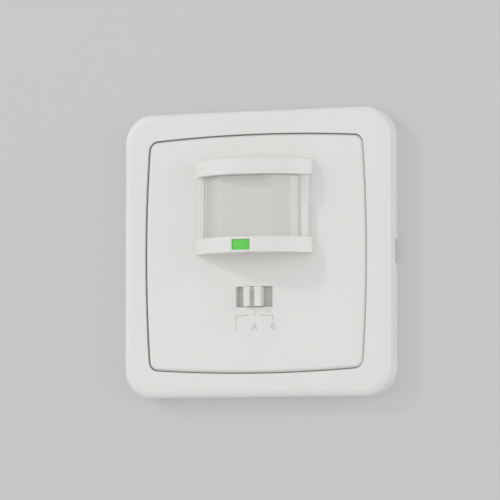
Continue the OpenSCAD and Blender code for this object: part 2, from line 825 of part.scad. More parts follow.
module rear_housing() color(grey) difference() {
    union() {
        slab([cover_front, -support_t]) rounded_square(flange_w, flange_h, flange_r);
        slab([cover_front, rear_out]) housing_outline(0);
    }
    difference() {
        slab([cover_front - cut, rear_in]) housing_outline(housing_wall);
        block(span(0, housing_w), [floor_in, rear_out], [-housing_h, recess_z + housing_wall]);
        at_bosses() {
            rod([0, 0], [board_back, rear_out], boss_r);
            rod([0, 0], [power_back, rear_out], step_r);
        }
    }
    block(span(0, housing_w + cut), [floor_out, rear_out + cut], [-housing_h, recess_z]);
    at_bosses() rod([0, 0], [board_back - cut, screw_end + pilot_room], screw_r + tight_gap);
    at_flange_screws() rod([0, 0], [cover_front - cut, 0], flange_screw_r + tight_gap);
    for (x = pole_x)
        block(span(x, 2 * tail_half + 2 * run_gap), [floor_in - cut, floor_out + cut],
            [tail_z[0] - run_gap, tail_z[1] + run_gap]);
    for (x = [-1, 1])
        rod([x * peg_x, block_mid], [floor_in - cut, floor_out + cut], peg_r + tight_gap);
}

module housing_screws() color(steel) at_bosses() {
    rod([0, 0], [cover_front, screw_end], screw_r);
    rod([0, 0], [cover_front - screw_head_t, cover_front], screw_head_r);
}

// Terminals

module terminal_block() color(black) {
    difference() {
        block(span(0, block_w), [floor_out, rear_out], block_z);
        for (x = pole_x) {
            block(span(x, 2 * (clamp_half + well_gap)), [floor_out - cut, well_end],
                [clamp_z[0] - well_gap, clamp_z[1] + well_gap]);
            block(span(x, bar_width + 2 * well_gap), [floor_out - cut, bar_back + well_gap],
                [clamp_z[1], tail_z[1] + well_gap]);
            rod([x, clamp_mid], [well_end - cut, rear_out], clamp_screw_r + run_gap);
            rod([x, clamp_mid], [clamp_head_y - run_gap, rear_out + cut], clamp_head_r + well_gap);
            translate([x, wire_y, block_z[0] - cut])
                cylinder(h = clamp_z[0] - block_z[0] + cut, r = wire_r);
        }
    }
    for (x = [-1, 1])
        rod([x * peg_x, block_mid], [floor_in, floor_out + cut / 2], peg_r);
}

module terminal_bars() color(brass)
    for (x = pole_x) {
        block(span(x, bar_width), [bar_y0, bar_back], [clamp_z[0] + bar_foot, tail_z[1]]);
        block(span(x, 2 * tail_half), [power_back, bar_back], tail_z);
    }

module terminal_clamp(x) color(brass) difference() {
    block(span(x, 2 * clamp_half), [clamp_y0, clamp_y1], clamp_z);
    block(span(x, 2 * (clamp_half - clamp_side_t)), [jaw_back, clamp_top],
        [clamp_z[0] - cut, clamp_z[1] + cut]);
    rod([x, clamp_mid], [clamp_top - cut, clamp_y1 + cut], clamp_screw_r + run_gap);
}

module terminal_screw(x) color(steel) difference() {
    union() {
        rod([x, clamp_mid], [bar_back + run_gap, clamp_head_y], clamp_screw_r);
        rod([x, clamp_mid], [clamp_head_y, clamp_head_y + clamp_head_t], clamp_head_r);
    }
    block(span(x, 2 * clamp_head_r + cut), [clamp_head_y + clamp_head_t / 2, rear_out + cut],
        span(clamp_mid, driver_slot_w));
}

module terminal_clamp_1() terminal_clamp(pole_x[0]);
module terminal_clamp_2() terminal_clamp(pole_x[1]);
module terminal_clamp_3() terminal_clamp(pole_x[2]);
module terminal_screw_1() terminal_screw(pole_x[0]);
module terminal_screw_2() terminal_screw(pole_x[1]);
module terminal_screw_3() terminal_screw(pole_x[2]);

cover_frame();
centre_plate();
fresnel_lens();
lens_retainer();
light_guide();
switch_knob();
inner_cover();
sensor_board();
pir_can();
pir_window();
indicator_led();
light_sensor();
switch_shell();
switch_base();
switch_lever();
switch_contact();
time_trimmer();
time_rotor();
lux_trimmer();
lux_rotor();
control_chip();
header_spacer();
header_pins();
power_board();
relay();
film_capacitor();
bulk_capacitor();
varistor();
fuse_resistor();
bridge_rectifier();
support_plate();
support_screws();
rear_housing();
housing_screws();
terminal_block();
terminal_bars();
terminal_clamp_1();
terminal_clamp_2();
terminal_clamp_3();
terminal_screw_1();
terminal_screw_2();
terminal_screw_3();
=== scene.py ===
"""Looks of a motion sensor light switch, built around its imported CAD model.

Sizes are in millimetres and come from the frame's nodes where a node carries them. The wall is the plane
y = 0, the front faces -Y, +X is to the right and +Z is up.
"""

import json
import logging
import math
from dataclasses import dataclass, field
from enum import Enum
from typing import Any, Iterable, Optional, Sequence, Union

import bmesh
import bpy
from bmesh.types import BMEdge, BMFace, BMVert
from mathutils import Color, Matrix, Vector

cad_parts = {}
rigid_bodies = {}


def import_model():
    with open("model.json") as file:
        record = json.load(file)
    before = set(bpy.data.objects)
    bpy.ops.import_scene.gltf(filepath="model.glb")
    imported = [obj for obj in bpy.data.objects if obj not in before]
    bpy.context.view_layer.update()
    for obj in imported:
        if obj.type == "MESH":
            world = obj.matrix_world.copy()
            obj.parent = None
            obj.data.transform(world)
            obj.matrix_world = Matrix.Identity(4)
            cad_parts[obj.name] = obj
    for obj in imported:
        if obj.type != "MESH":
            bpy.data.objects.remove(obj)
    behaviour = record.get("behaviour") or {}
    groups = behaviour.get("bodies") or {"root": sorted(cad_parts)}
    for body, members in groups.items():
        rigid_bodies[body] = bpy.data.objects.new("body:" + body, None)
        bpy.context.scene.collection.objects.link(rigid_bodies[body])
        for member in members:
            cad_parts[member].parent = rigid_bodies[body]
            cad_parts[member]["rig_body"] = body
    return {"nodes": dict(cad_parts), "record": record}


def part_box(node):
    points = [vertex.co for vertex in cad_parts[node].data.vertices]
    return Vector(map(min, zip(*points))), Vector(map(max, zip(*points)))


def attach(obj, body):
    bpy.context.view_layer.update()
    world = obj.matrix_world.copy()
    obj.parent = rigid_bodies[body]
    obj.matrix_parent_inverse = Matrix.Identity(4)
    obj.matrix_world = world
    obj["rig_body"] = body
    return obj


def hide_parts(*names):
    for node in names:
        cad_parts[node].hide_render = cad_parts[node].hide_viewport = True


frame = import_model()

LOG = logging.getLogger("switch")
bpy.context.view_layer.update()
MM = 0.001
TO_FRONT = Matrix.Rotation(math.radians(90.0), 4, "X")

# Levels that lie closer than this are the same
NEAR = 1e-3
# An edge that turns further than this shows as an edge
SHARP = math.radians(36.0)
# A face is square to an axis if its normal has more than this along it
SQUARE = 0.9

Colour = tuple[float, float, float]
Span = tuple[float, float]


class Body(Enum):
    """The rigid bodies that the new pieces ride on."""

    INSERT = "insert"
    KNOB = "knob"


class Slot(Enum):
    """The record's material slots."""

    WHITE = "white_plastic"
    LENS = "lens_plastic"
    GREEN = "green_plastic"
    BLACK = "black_plastic"
    GREY = "grey_plastic"
    ROTOR = "rotor_plastic"
    BLUE = "blue_plastic"
    BOARD = "circuit_board"
    STEEL = "steel"
    BRASS = "brass"
    YELLOW = "film_yellow"
    RESISTOR = "resistor_blue"
    CELL = "cell_brown"


class Side(Enum):
    """The two sides of what is mirrored."""

    LEFT = -1
    RIGHT = 1


class Axis(Enum):
    """The three axes and their directions."""

    X = (1.0, 0.0, 0.0)
    Y = (0.0, 1.0, 0.0)
    Z = (0.0, 0.0, 1.0)


def linear(red: int, green: int, blue: int) -> Colour:
    """The linear colour of a screen colour, whose parts run from 0 to 255."""
    return tuple(Color((red / 255, green / 255, blue / 255)).from_srgb_to_scene_linear())


def shade(colour: Colour, factor: float) -> Colour:
    """A colour made lighter or darker."""
    return tuple(min(part * factor, 1.0) for part in colour)


def around(middle: float, width: float) -> Span:
    """The span of a width about its middle."""
    return middle - width / 2, middle + width / 2


def only(kind: type, items: Iterable[Any]) -> list[Any]:
    """The items of one kind, such as the points among the parts of a mesh."""
    return [item for item in items if isinstance(item, kind)]


def edges_of(faces: Iterable[BMFace]) -> set[BMEdge]:
    """The edges of a number of faces."""
    return {edge for face in faces for edge in face.edges}


def at_depth(items: Iterable[Any], y: float) -> list[Any]:
    """The edges or faces that lie at one depth."""
    return [item for item in items if all(abs(point.co.y - y) < NEAR for point in item.verts)]


@dataclass(frozen=True)
class Extent:
    """The box of a CAD node."""

    low: Vector
    high: Vector

    @classmethod
    def of(cls, node: str) -> "Extent":
        """The box of the named node."""
        low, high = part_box(node)
        return cls(low / MM, high / MM)

    @property
    def size(self) -> Vector:
        """Width, depth and height."""
        return self.high - self.low

    @property
    def middle(self) -> Vector:
        """The box's centre."""
        return (self.low + self.high) / 2


def extent_of(node: str) -> Any:
    """A dataclass field that holds the box of a CAD node."""
    return field(default_factory=lambda: Extent.of(node))


def front_plane() -> float:
    """The depth of the frame's front, with which the plate is flush."""
    return Extent.of("cover_frame").low.y


class Socket:
    """An output in a shader graph. Arithmetic on it adds Math nodes."""

    def __init__(self, graph: "Graph", output: bpy.types.NodeSocket) -> None:
        """Wrap one output of a node."""
        self.graph = graph
        self.output = output

    def _math(self, operation: str, first: "Value", second: "Value") -> "Socket":
        """Add a Math node on two values."""
        return self.graph.node("ShaderNodeMath", {"operation": operation}, {0: first, 1: second})

    def __add__(self, other: "Value") -> "Socket":
        """This value plus another."""
        return self._math("ADD", self, other)

    def __radd__(self, other: "Value") -> "Socket":
        """Another value plus this one."""
        return self._math("ADD", other, self)

    def __sub__(self, other: "Value") -> "Socket":
        """This value less another."""
        return self._math("SUBTRACT", self, other)

    def __rsub__(self, other: "Value") -> "Socket":
        """Another value less this one."""
        return self._math("SUBTRACT", other, self)

    def __mul__(self, other: "Value") -> "Socket":
        """This value times another."""
        return self._math("MULTIPLY", self, other)

    def __rmul__(self, other: "Value") -> "Socket":
        """Another value times this one."""
        return self._math("MULTIPLY", other, self)

    def __gt__(self, other: "Value") -> "Socket":
        """One where this value is the larger, else zero."""
        return self._math("GREATER_THAN", self, other)


Value = Union[float, Socket]
Tint = Union[Colour, Socket]
Settings = Optional[dict[str, Any]]
Inputs = Optional[dict[Union[int, str], Any]]


class Graph:
    """The shader graph of one material."""

    # Middle of a noise that runs from 0 to 1
    mean = 0.5
    # A pattern that isn't drawn out along any axis
    even = (1.0, 1.0, 1.0)

    def __init__(self, name: str) -> None:
        """Start a material with an empty graph.

        Args:
            name: The material's name.
        """
        self.material = bpy.data.materials.new(name)
        self.material.use_nodes = True
        self.tree = self.material.node_tree
        self.tree.nodes.clear()

    def add(self, kind: str, settings: Settings = None, inputs: Inputs = None) -> bpy.types.Node:
        """Add a node.

        Args:
            kind: The node's type.
            settings: Its own settings, set before its sockets.
            inputs: A value or a link for each socket, by name or place.

        Returns:
            The node.
        """
        made = self.tree.nodes.new(kind)
        for name, value in (settings or {}).items():
            setattr(made, name, value)
        for key, value in (inputs or {}).items():
            if isinstance(value, Socket):
                self.tree.links.new(value.output, made.inputs[key])
            else:
                made.inputs[key].default_value = value
        return made

    def node(
        self, kind: str, settings: Settings = None, inputs: Inputs = None, out: Union[int, str] = 0
    ) -> Socket:
        """Add a node and wrap the output that is wanted."""
        return Socket(self, self.add(kind, settings, inputs).outputs[out])

    def place(self, stretch: Sequence[float] = even) -> Socket:
        """Object coordinates in millimetres.

        Args:
            stretch: How far a pattern is drawn out along each axis.

        Returns:
            The coordinates.
        """
        spot = self.node("ShaderNodeTexCoord", out="Object")
        scale = tuple(1 / (MM * part) for part in stretch)
        return self.node("ShaderNodeMapping", None, {"Vector": spot, "Scale": scale})

    def noise(self, size: float, detail: float = 2.0, stretch: Sequence[float] = even) -> Socket:
        """Soft noise from 0 to 1, with patches of a size in millimetres and so many finer layers."""
        inputs = {"Vector": self.place(stretch), "Scale": 1 / size, "Detail": detail}
        return self.node("ShaderNodeTexNoise", None, inputs, "Fac")

    def blend(self, share: Value, first: Tint, second: Tint) -> Socket:
        """Mix two colours, with a share that says how much of the second shows."""
        ends = [tint if isinstance(tint, Socket) else (*tint, 1.0) for tint in (first, second)]
        # Of a Mix node, input 0 is the factor, and inputs 6 and 7 and output 2 carry colours
        return self.node("ShaderNodeMix", {"data_type": "RGBA"}, {0: share, 6: ends[0], 7: ends[1]}, 2)

    def mottle(self, noise: Socket, colour: Colour, depth: float) -> Socket:
        """A colour that a noise makes darker and lighter by the same share."""
        return self.blend(noise, shade(colour, 1 - depth), shade(colour, 1 + depth))

    def vary(self, noise: Socket, middle: Value, spread: float) -> Socket:
        """A value that a noise spreads about its middle."""
        return middle + (noise - self.mean) * spread

    def bump(self, height: Socket, relief: float) -> Socket:
        """A surface normal from a height of 0 to 1 that is so many millimetres tall."""
        inputs = {"Height": height, "Strength": 1.0, "Distance": relief * MM}
        return self.node("ShaderNodeBump", None, inputs)

    def principled(self, inputs: dict[str, Any]) -> Socket:
        """The shader of a surface, with the values and links of its sockets."""
        return self.node("ShaderNodeBsdfPrincipled", None, inputs, "BSDF")


@dataclass(frozen=True)
class Finish:
    """A finish: its name, colour and roughness."""

    name: str
    colour: Colour
    roughness: float

    def material(self) -> bpy.types.Material:
        """Find the finish's material, or make it on first use.

        Returns:
            The material.
        """
        known = bpy.data.materials.get(self.name)
        if known is not None:
            return known
        graph = Graph(self.name)
        graph.add("ShaderNodeOutputMaterial", None, {"Surface": self.shader(graph)})
        return graph.material

    def shader(self, graph: Graph) -> Socket:
        """Build the finish's shader in its material's empty graph."""
        raise NotImplementedError


@dataclass(frozen=True)
class MouldedPlastic(Finish):
    """Moulded plastic: a fine spark-eroded grain and faint flow clouds in the colour."""

    mottle: float = 0.015
    cloud: float = 9.0
    cloud_detail: float = 3.0
    grain: float = 0.35
    grain_detail: float = 2.0
    relief: float = 0.002
    rough_spread: float = 0.1
    specular: float = 0.4
    coat: float = 0.0
    coat_roughness: float = 0.03

    def shader(self, graph: Graph) -> Socket:
        """Build the plastic's shader.

        Args:
            graph: The material's empty graph.

        Returns:
            The shader.
        """
        clouds = graph.noise(self.cloud, self.cloud_detail)
        grain = graph.noise(self.grain, self.grain_detail)
        inputs = {
            "Base Color": graph.mottle(clouds, self.colour, self.mottle),
            "Roughness": graph.vary(grain, self.roughness, self.rough_spread),
            "Normal": graph.bump(grain, self.relief),
            "Specular IOR Level": self.specular,
            "Coat Weight": self.coat,
            "Coat Roughness": self.coat_roughness,
        }
        return graph.principled(inputs)


@dataclass(frozen=True)
class TintedPlastic(MouldedPlastic):
    """Clear tinted plastic over a lamp: an even colour under a smooth coat."""

    mottle: float = 0.05
    cloud: float = 1.6
    cloud_detail: float = 2.0
    grain: float = 0.3
    grain_detail: float = 1.0
    relief: float = 0.001
    rough_spread: float = 0.06
    specular: float = 0.5
    coat: float = 0.2
    coat_roughness: float = 0.15


@dataclass(frozen=True)
class MilkyLens(Finish):
    """Milky lens plastic: light spreads a little inside it, and its inner ribs show as faint bands. Its
    colour is painted darker towards its left end, as painted shade for the shade beside the left cheek
    post."""

    rib: float = 1.3
    rib_stretch: Sequence[float] = (1.0, 1.0, 30.0)
    band: float = 0.012
    grain: float = 0.25
    relief: float = 0.0015
    rough_spread: float = 0.08
    milk: float = 0.25
    milk_tint: Colour = (1.0, 1.0, 0.95)
    milk_reach: float = 0.6
    # Painted shade towards the lens's left end, for the shade beside the left cheek post: where it starts
    # and stops along x in millimetres, and how much darker it gets
    end: Span = (-7.8, -14.6)
    painted_shade_depth: float = 0.22

    def shader(self, graph: Graph) -> Socket:
        """Build the lens plastic's shader.

        Args:
            graph: The material's empty graph.

        Returns:
            The shader.
        """
        ribs = graph.noise(self.rib, detail=1.0, stretch=self.rib_stretch)
        grain = graph.noise(self.grain)
        # Painted shade: the colour darkens towards the left end, standing in for the shade that falls
        # beside the left cheek post
        across = graph.node("ShaderNodeSeparateXYZ", None, {"Vector": graph.place()}, "X")
        start, stop = self.end
        end = graph.node("ShaderNodeMapRange", None, {"Value": across, "From Min": start, "From Max": stop})
        deep = shade(self.colour, 1 - self.painted_shade_depth)
        inputs = {
            "Base Color": graph.blend(1.0 - end, deep, graph.mottle(ribs, self.colour, self.band)),
            "Roughness": graph.vary(grain, self.roughness, self.rough_spread),
            "Normal": graph.bump(grain, self.relief),
            "Subsurface Weight": self.milk,
            "Subsurface Radius": self.milk_tint,
            "Subsurface Scale": self.milk_reach * MM,
        }
        return graph.principled(inputs)


@dataclass(frozen=True)
class PlatedMetal(Finish):
    """Plated or plain sheet metal: rolled streaks and dull patches."""

    patch: float = 3.0
    patch_tones: Span = (0.9, 1.08)
    patch_spread: float = 0.16
    streak: float = 0.12
    streak_stretch: Sequence[float] = (1.0, 1.0, 18.0)
    streak_spread: float = 0.12
    relief: float = 0.003

    def shader(self, graph: Graph) -> Socket:
        """Build the metal's shader.

        Args:
            graph: The material's empty graph.

        Returns:
            The shader.
        """
        patches = graph.noise(self.patch, detail=4.0)
        streaks = graph.noise(self.streak, stretch=self.streak_stretch)
        dull = graph.vary(patches, self.roughness, self.patch_spread)
        inputs = {
            "Base Color": graph.blend(patches, *(shade(self.colour, tone) for tone in self.patch_tones)),
            "Metallic": 1.0,
            "Roughness": graph.vary(streaks, dull, self.streak_spread),
            "Normal": graph.bump(streaks, self.relief),
        }
        return graph.principled(inputs)


@dataclass(frozen=True)
class SolderMask(Finish):
    """Circuit board lacquer: tracks that stand a little proud of it, and tinned pads."""

    track: float = 1.27
    track_line: float = 0.14
    track_tone: float = 1.7
    pad_pitch: float = 2.54
    pad_scatter: float = 0.8
    pad_radius: float = 0.16
    tin: Colour = (0.55, 0.55, 0.52)
    tin_metal: float = 0.9
    tin_dull: float = 0.1
    relief: float = 0.02

    def shader(self, graph: Graph) -> Socket:
        """Build the lacquer's shader.

        Args:
            graph: The material's empty graph.

        Returns:
            The shader.
        """
        spot = graph.place()
        lines = {"Vector": spot, "Scale": 1 / self.track, "Mortar Size": self.track_line}
        tracks = graph.node("ShaderNodeTexBrick", None, lines, "Fac")
        rounds = {"Vector": spot, "Scale": 1 / self.pad_pitch, "Randomness": self.pad_scatter}
        cells = graph.node("ShaderNodeTexVoronoi", None, rounds, "Distance")
        pads = (self.pad_radius - cells) > 0.0
        lacquer = graph.blend(tracks, self.colour, shade(self.colour, self.track_tone))
        inputs = {
            "Base Color": graph.blend(pads, lacquer, self.tin),
            "Metallic": pads * self.tin_metal,
            "Roughness": self.roughness + pads * self.tin_dull,
            "Normal": graph.bump(tracks + pads, self.relief),
        }
        return graph.principled(inputs)


@dataclass(frozen=True)
class PaintedWall(Finish):
    """Plain painted wall or floor. One that is seen from one side only is clear from behind, and one
    with a glow of its own keeps that share of its tone in a shadow."""

    one_sided: bool = False
    glow: float = 0.0
    roller: float = 1.2
    mottle: float = 0.005
    specular: float = 0.2

    def shader(self, graph: Graph) -> Socket:
        """Build the paint's shader.

        Args:
            graph: The material's empty graph.

        Returns:
            The shader.
        """
        roller = graph.noise(self.roller, detail=3.0)
        inputs = {
            "Base Color": graph.mottle(roller, shade(self.colour, 1 - self.glow), self.mottle),
            "Roughness": self.roughness,
            "Specular IOR Level": self.specular,
            "Emission Color": (*self.colour, 1.0),
            "Emission Strength": self.glow,
        }
        paint = graph.principled(inputs)
        if not self.one_sided:
            return paint
        behind = graph.node("ShaderNodeNewGeometry", out="Backfacing")
        clear = graph.node("ShaderNodeBsdfTransparent")
        return graph.node("ShaderNodeMixShader", None, {0: behind, 1: paint, 2: clear})


WHITE = MouldedPlastic("white_moulding", linear(224, 223, 221), 0.42)
# Raised marks in a grey a little darker than the plate: painted shade that stands in for the faint shadow
# along their strokes
MARKS_PAINTED_SHADE = MouldedPlastic("raised_marks_painted_shade", linear(203, 202, 199), 0.5, cloud=1.5, grain=0.2)
LENS = MilkyLens("milky_lens", linear(208, 207, 204), 0.3)
GREEN = TintedPlastic("green_window", linear(91, 207, 76), 0.33)
WALL = PaintedWall("wall_paint", linear(200, 200, 200), 0.8, one_sided=True, glow=0.4)
FLOOR = PaintedWall("floor_paint", linear(225, 225, 224), 0.7)

SLOT_FINISH: dict[Slot, Finish] = {
    Slot.WHITE: WHITE,
    Slot.LENS: LENS,
    Slot.GREEN: GREEN,
    Slot.BLACK: MouldedPlastic("black_moulding", linear(44, 44, 46), 0.5, mottle=0.08, relief=0.004),
    Slot.GREY: MouldedPlastic("grey_moulding", linear(143, 145, 147), 0.5, mottle=0.03, relief=0.004),
    Slot.ROTOR: MouldedPlastic("rotor_moulding", linear(224, 224, 218), 0.4, cloud=2.0),
    Slot.BLUE: MouldedPlastic("blue_moulding", linear(38, 89, 166), 0.45, mottle=0.05),
    Slot.BOARD: SolderMask("board_lacquer", (0.01, 0.1, 0.04), 0.35),
    Slot.STEEL: PlatedMetal("zinc_plate", (0.58, 0.59, 0.61), 0.36),
    Slot.BRASS: PlatedMetal("bare_brass", (0.66, 0.44, 0.15), 0.34, streak=0.08),
    Slot.YELLOW: MouldedPlastic("yellow_moulding", linear(204, 178, 51), 0.4, mottle=0.04),
    Slot.RESISTOR: MouldedPlastic("pale_lacquer", linear(115, 153, 191), 0.3, mottle=0.06, cloud=2.0),
    Slot.CELL: MouldedPlastic("brown_lacquer", linear(179, 115, 76), 0.3, mottle=0.08, cloud=1.5),
}


class Shape:
    """A mesh that is modelled in millimetres and ends as one piece of the object."""

    # How far apart two outlines are held while the band between them is made
    apart = 20.0
    # Corners of a node that lie closer than this are one corner
    seam = 0.002
    # Faces of a node that turn by less than this are one flat face
    flat = math.radians(0.5)
    # Corners of a finished piece that lie closer than this are one corner
    weld = 0.0001

    def __init__(self) -> None:
        """Start with an empty mesh."""
        self.bm = bmesh.new()

    def take(self, other: "Shape") -> list[BMEdge]:
        """Add another mesh to this one.

        Args:
            other: The other mesh, which ends here.

        Returns:
            Its edges, as they are in this mesh.
        """
        passing = bpy.data.meshes.new("passing")
        other.bm.to_mesh(passing)
        other.bm.free()
        for edge in self.bm.edges:
            edge.tag = True
        self.bm.from_mesh(passing)
        bpy.data.meshes.remove(passing)
        return [edge for edge in self.bm.edges if not edge.tag]

    def block(self, x: Span, y: Span, z: Span) -> list[BMFace]:
        """Add a box.

        Args:
            x: Its reach from left to right.
            y: Its reach from front to back.
            z: Its reach from bottom to top.

        Returns:
            Its faces.
        """
        low, high = Vector((x[0], y[0], z[0])), Vector((x[1], y[1], z[1]))
        place = Matrix.Translation((low + high) / 2) @ Matrix.Diagonal((*(high - low), 1.0))
        corners = bmesh.ops.create_cube(self.bm, size=1.0, matrix=place)["verts"]
        return list({face for corner in corners for face in corner.link_faces})

    def rectangle(self, x: Span, z: Span, y: float) -> list[BMEdge]:
        """Add a rectangular outline that faces the front.

        Args:
            x: Its reach from left to right.
            z: Its reach from bottom to top.
            y: Its depth.

        Returns:
            Its edges.
        """
        centre = Matrix.Translation((sum(x) / 2, y, sum(z) / 2))
        place = centre @ TO_FRONT @ Matrix.Diagonal((x[1] - x[0], z[1] - z[0], 1.0, 1.0))
        grid = bmesh.ops.create_grid(self.bm, x_segments=1, y_segments=1, size=0.5, matrix=place)
        edges = list({edge for corner in grid["verts"] for edge in corner.link_edges})
        faces = list({face for corner in grid["verts"] for face in corner.link_faces})
        bmesh.ops.delete(self.bm, geom=faces, context="FACES_ONLY")
        return edges

    def bevel(self, edges: Iterable[BMEdge], width: float, segments: int = 3) -> None:
        """Round edges.

        Args:
            edges: The edges.
            width: How far the rounding reaches on each side.
            segments: How many steps it has.
        """
        bmesh.ops.bevel(
            self.bm,
            geom=list(edges),
            offset=width,
            offset_type="OFFSET",
            segments=segments,
            profile=0.5,
            affect="EDGES",
            clamp_overlap=False,
            material=-1,
        )

    def bridge(self, first: list[BMEdge], second: list[BMEdge]) -> None:
        """Close the band between two outlines, which may lie at one depth.

        Args:
            first: One outline.
            second: The other, which is drawn apart from it while the band is made.
        """
        apart = Vector((0.0, self.apart, 0.0))
        points = list({end for edge in second for end in edge.verts})
        bmesh.ops.translate(self.bm, vec=apart, verts=points)
        bmesh.ops.bridge_loops(self.bm, edges=first + second)
        bmesh.ops.translate(self.bm, vec=-apart, verts=points)

    def cap(self, outlines: Iterable[list[BMEdge]]) -> None:
        """Fill one flat face between an outline and the holes in it."""
        edges = [edge for outline in outlines for edge in outline]
        bmesh.ops.triangle_fill(self.bm, edges=edges, use_beauty=True, use_dissolve=False)

    def flat_face(self, y: float) -> BMFace:
        """The largest face at a depth."""
        return max(at_depth(self.bm.faces, y), key=lambda face: face.calc_area())

    def open_face(self, y: float) -> list[BMEdge]:
        """Take out the largest face at a depth.

        Args:
            y: The depth.

        Returns:
            The edges that were round it.
        """
        face = self.flat_face(y)
        edges = list(face.edges)
        bmesh.ops.delete(self.bm, geom=[face], context="FACES_ONLY")
        return edges

    def slice(self, faces: Iterable[BMFace], cuts: Iterable[tuple[Axis, float]]) -> list[BMFace]:
        """Cut faces along planes.

        Args:
            faces: The faces.
            cuts: The axis that each plane is square to, and its level there.

        Returns:
            The faces that they are then.
        """
        part: list[Any] = list(faces)
        edges = edges_of(part)
        part += [*edges, *{end for edge in edges for end in edge.verts}]
        for axis, level in cuts:
            way = Vector(axis.value)
            part = bmesh.ops.bisect_plane(self.bm, geom=part, plane_co=way * level, plane_no=way)["geom"]
        return only(BMFace, part)

    def extrude(self, faces: list[BMFace], way: Sequence[float]) -> list[BMVert]:
        """Draw a sheet of faces out into a solid.

        Args:
            faces: The faces, which stay as its near end.
            way: How far its far end lies along each axis.

        Returns:
            The points of its far end.
        """
        far = only(BMVert, bmesh.ops.extrude_face_region(self.bm, geom=faces)["geom"])
        bmesh.ops.translate(self.bm, vec=way, verts=far)
        return far

    def draw_out(self, faces: list[BMFace], way: Sequence[float]) -> None:
        """Draw faces out of the solid that they close, or into it, so far along each axis."""
        self.extrude(faces, way)
        bmesh.ops.delete(self.bm, geom=[face for face in faces if face.is_valid], context="FACES")

    def carry_over(self, node: str) -> None:
        """Add a merged copy of a CAD node with its flat faces made whole.

        Args:
            node: The node's name.
        """
        copy = Shape()
        bm = copy.bm
        bm.from_mesh(frame["nodes"][node].data)
        bmesh.ops.scale(bm, vec=(1 / MM,) * 3, verts=bm.verts)
        bmesh.ops.remove_doubles(bm, verts=bm.verts, dist=self.seam)
        bmesh.ops.dissolve_limit(bm, angle_limit=self.flat, verts=bm.verts, edges=bm.edges)
        self.take(copy)

    def ease(self, width: float, least: float = SHARP) -> None:
        """Round every edge that turns further than the least angle by the same small width."""
        edges = [e for e in self.bm.edges if e.is_manifold and e.calc_face_angle(0.0) > least]
        self.bevel(edges, width, 2)

    def settle(self, name: str, finish: Finish) -> bpy.types.Object:
        """End the mesh as an object of the scene.

        Args:
            name: The object's name.
            finish: Its finish.

        Returns:
            The object.
        """
        mesh = bpy.data.meshes.new(name)
        self.bm.to_mesh(mesh)
        self.bm.free()
        mesh.materials.append(finish.material())
        made = bpy.data.objects.new(name, mesh)
        bpy.context.scene.collection.objects.link(made)
        return made

    def piece(
        self, name: str, finish: Finish, body: str, slot: Slot, stands_for: Sequence[str] = ()
    ) -> bpy.types.Object:
        """End the mesh as a piece of the object.

        Args:
            name: The piece's name.
            finish: Its finish.
            body: The body that it rides on.
            slot: The record's material slot; not used.
            stands_for: The CAD nodes that it replaces.

        Returns:
            The piece.
        """
        bmesh.ops.remove_doubles(self.bm, verts=self.bm.verts, dist=self.weld)
        bmesh.ops.recalc_face_normals(self.bm, faces=self.bm.faces)
        bmesh.ops.scale(self.bm, vec=(MM,) * 3, verts=self.bm.verts)
        made = self.settle(name, finish)
        made.data.shade_smooth()
        made.data.set_sharp_from_angle(angle=SHARP)
        made.modifiers.new("even_shading", "WEIGHTED_NORMAL").keep_sharp = True
        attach(made, body)
        if stands_for:
            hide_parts(*stands_for)
        return made


@dataclass(frozen=True)
class Opening:
    """The bowed square that the frame and the plate share."""

    half: float = 33.45
    bow_radius: float = 427.0
    corner_radius: float = 2.8
    bow_steps: int = 14
    corner_steps: int = 8

    def outline(self, shape: Shape, inset: float, y: float) -> list[BMEdge]:
        """Add the opening's outline.

        Args:
            shape: The mesh that takes it.
            inset: How far it is drawn in on every side.
            y: Its depth.

        Returns:
            Its edges.
        """
        line = Shape()
        bow = self.bow_radius - inset
        centre = self.half - self.bow_radius
        corner = (centre + math.sqrt(2 * bow**2 - centre**2)) / 2
        sides = line.rectangle((-corner, corner), (-corner, corner), y)
        bmesh.ops.subdivide_edges(line.bm, edges=sides, cuts=self.bow_steps - 1)
        corners = [v for v in line.bm.verts if abs(abs(v.co.x) - abs(v.co.z)) < NEAR and abs(v.co.x) > NEAR]
        for point in line.bm.verts:
            if abs(abs(point.co.x) - corner) < NEAR:
                point.co.x = math.copysign(centre + math.sqrt(bow**2 - point.co.z**2), point.co.x)
            else:
                point.co.z = math.copysign(centre + math.sqrt(bow**2 - point.co.x**2), point.co.z)
        half_turn = math.radians(45.0) - math.asin(corner / bow)
        bmesh.ops.bevel(
            line.bm,
            geom=corners,
            offset=(self.corner_radius - inset) * math.tan(half_turn),
            segments=self.corner_steps,
            profile=0.5,
            affect="VERTICES",
            clamp_overlap=False,
            material=-1,
        )
        return shape.take(line)


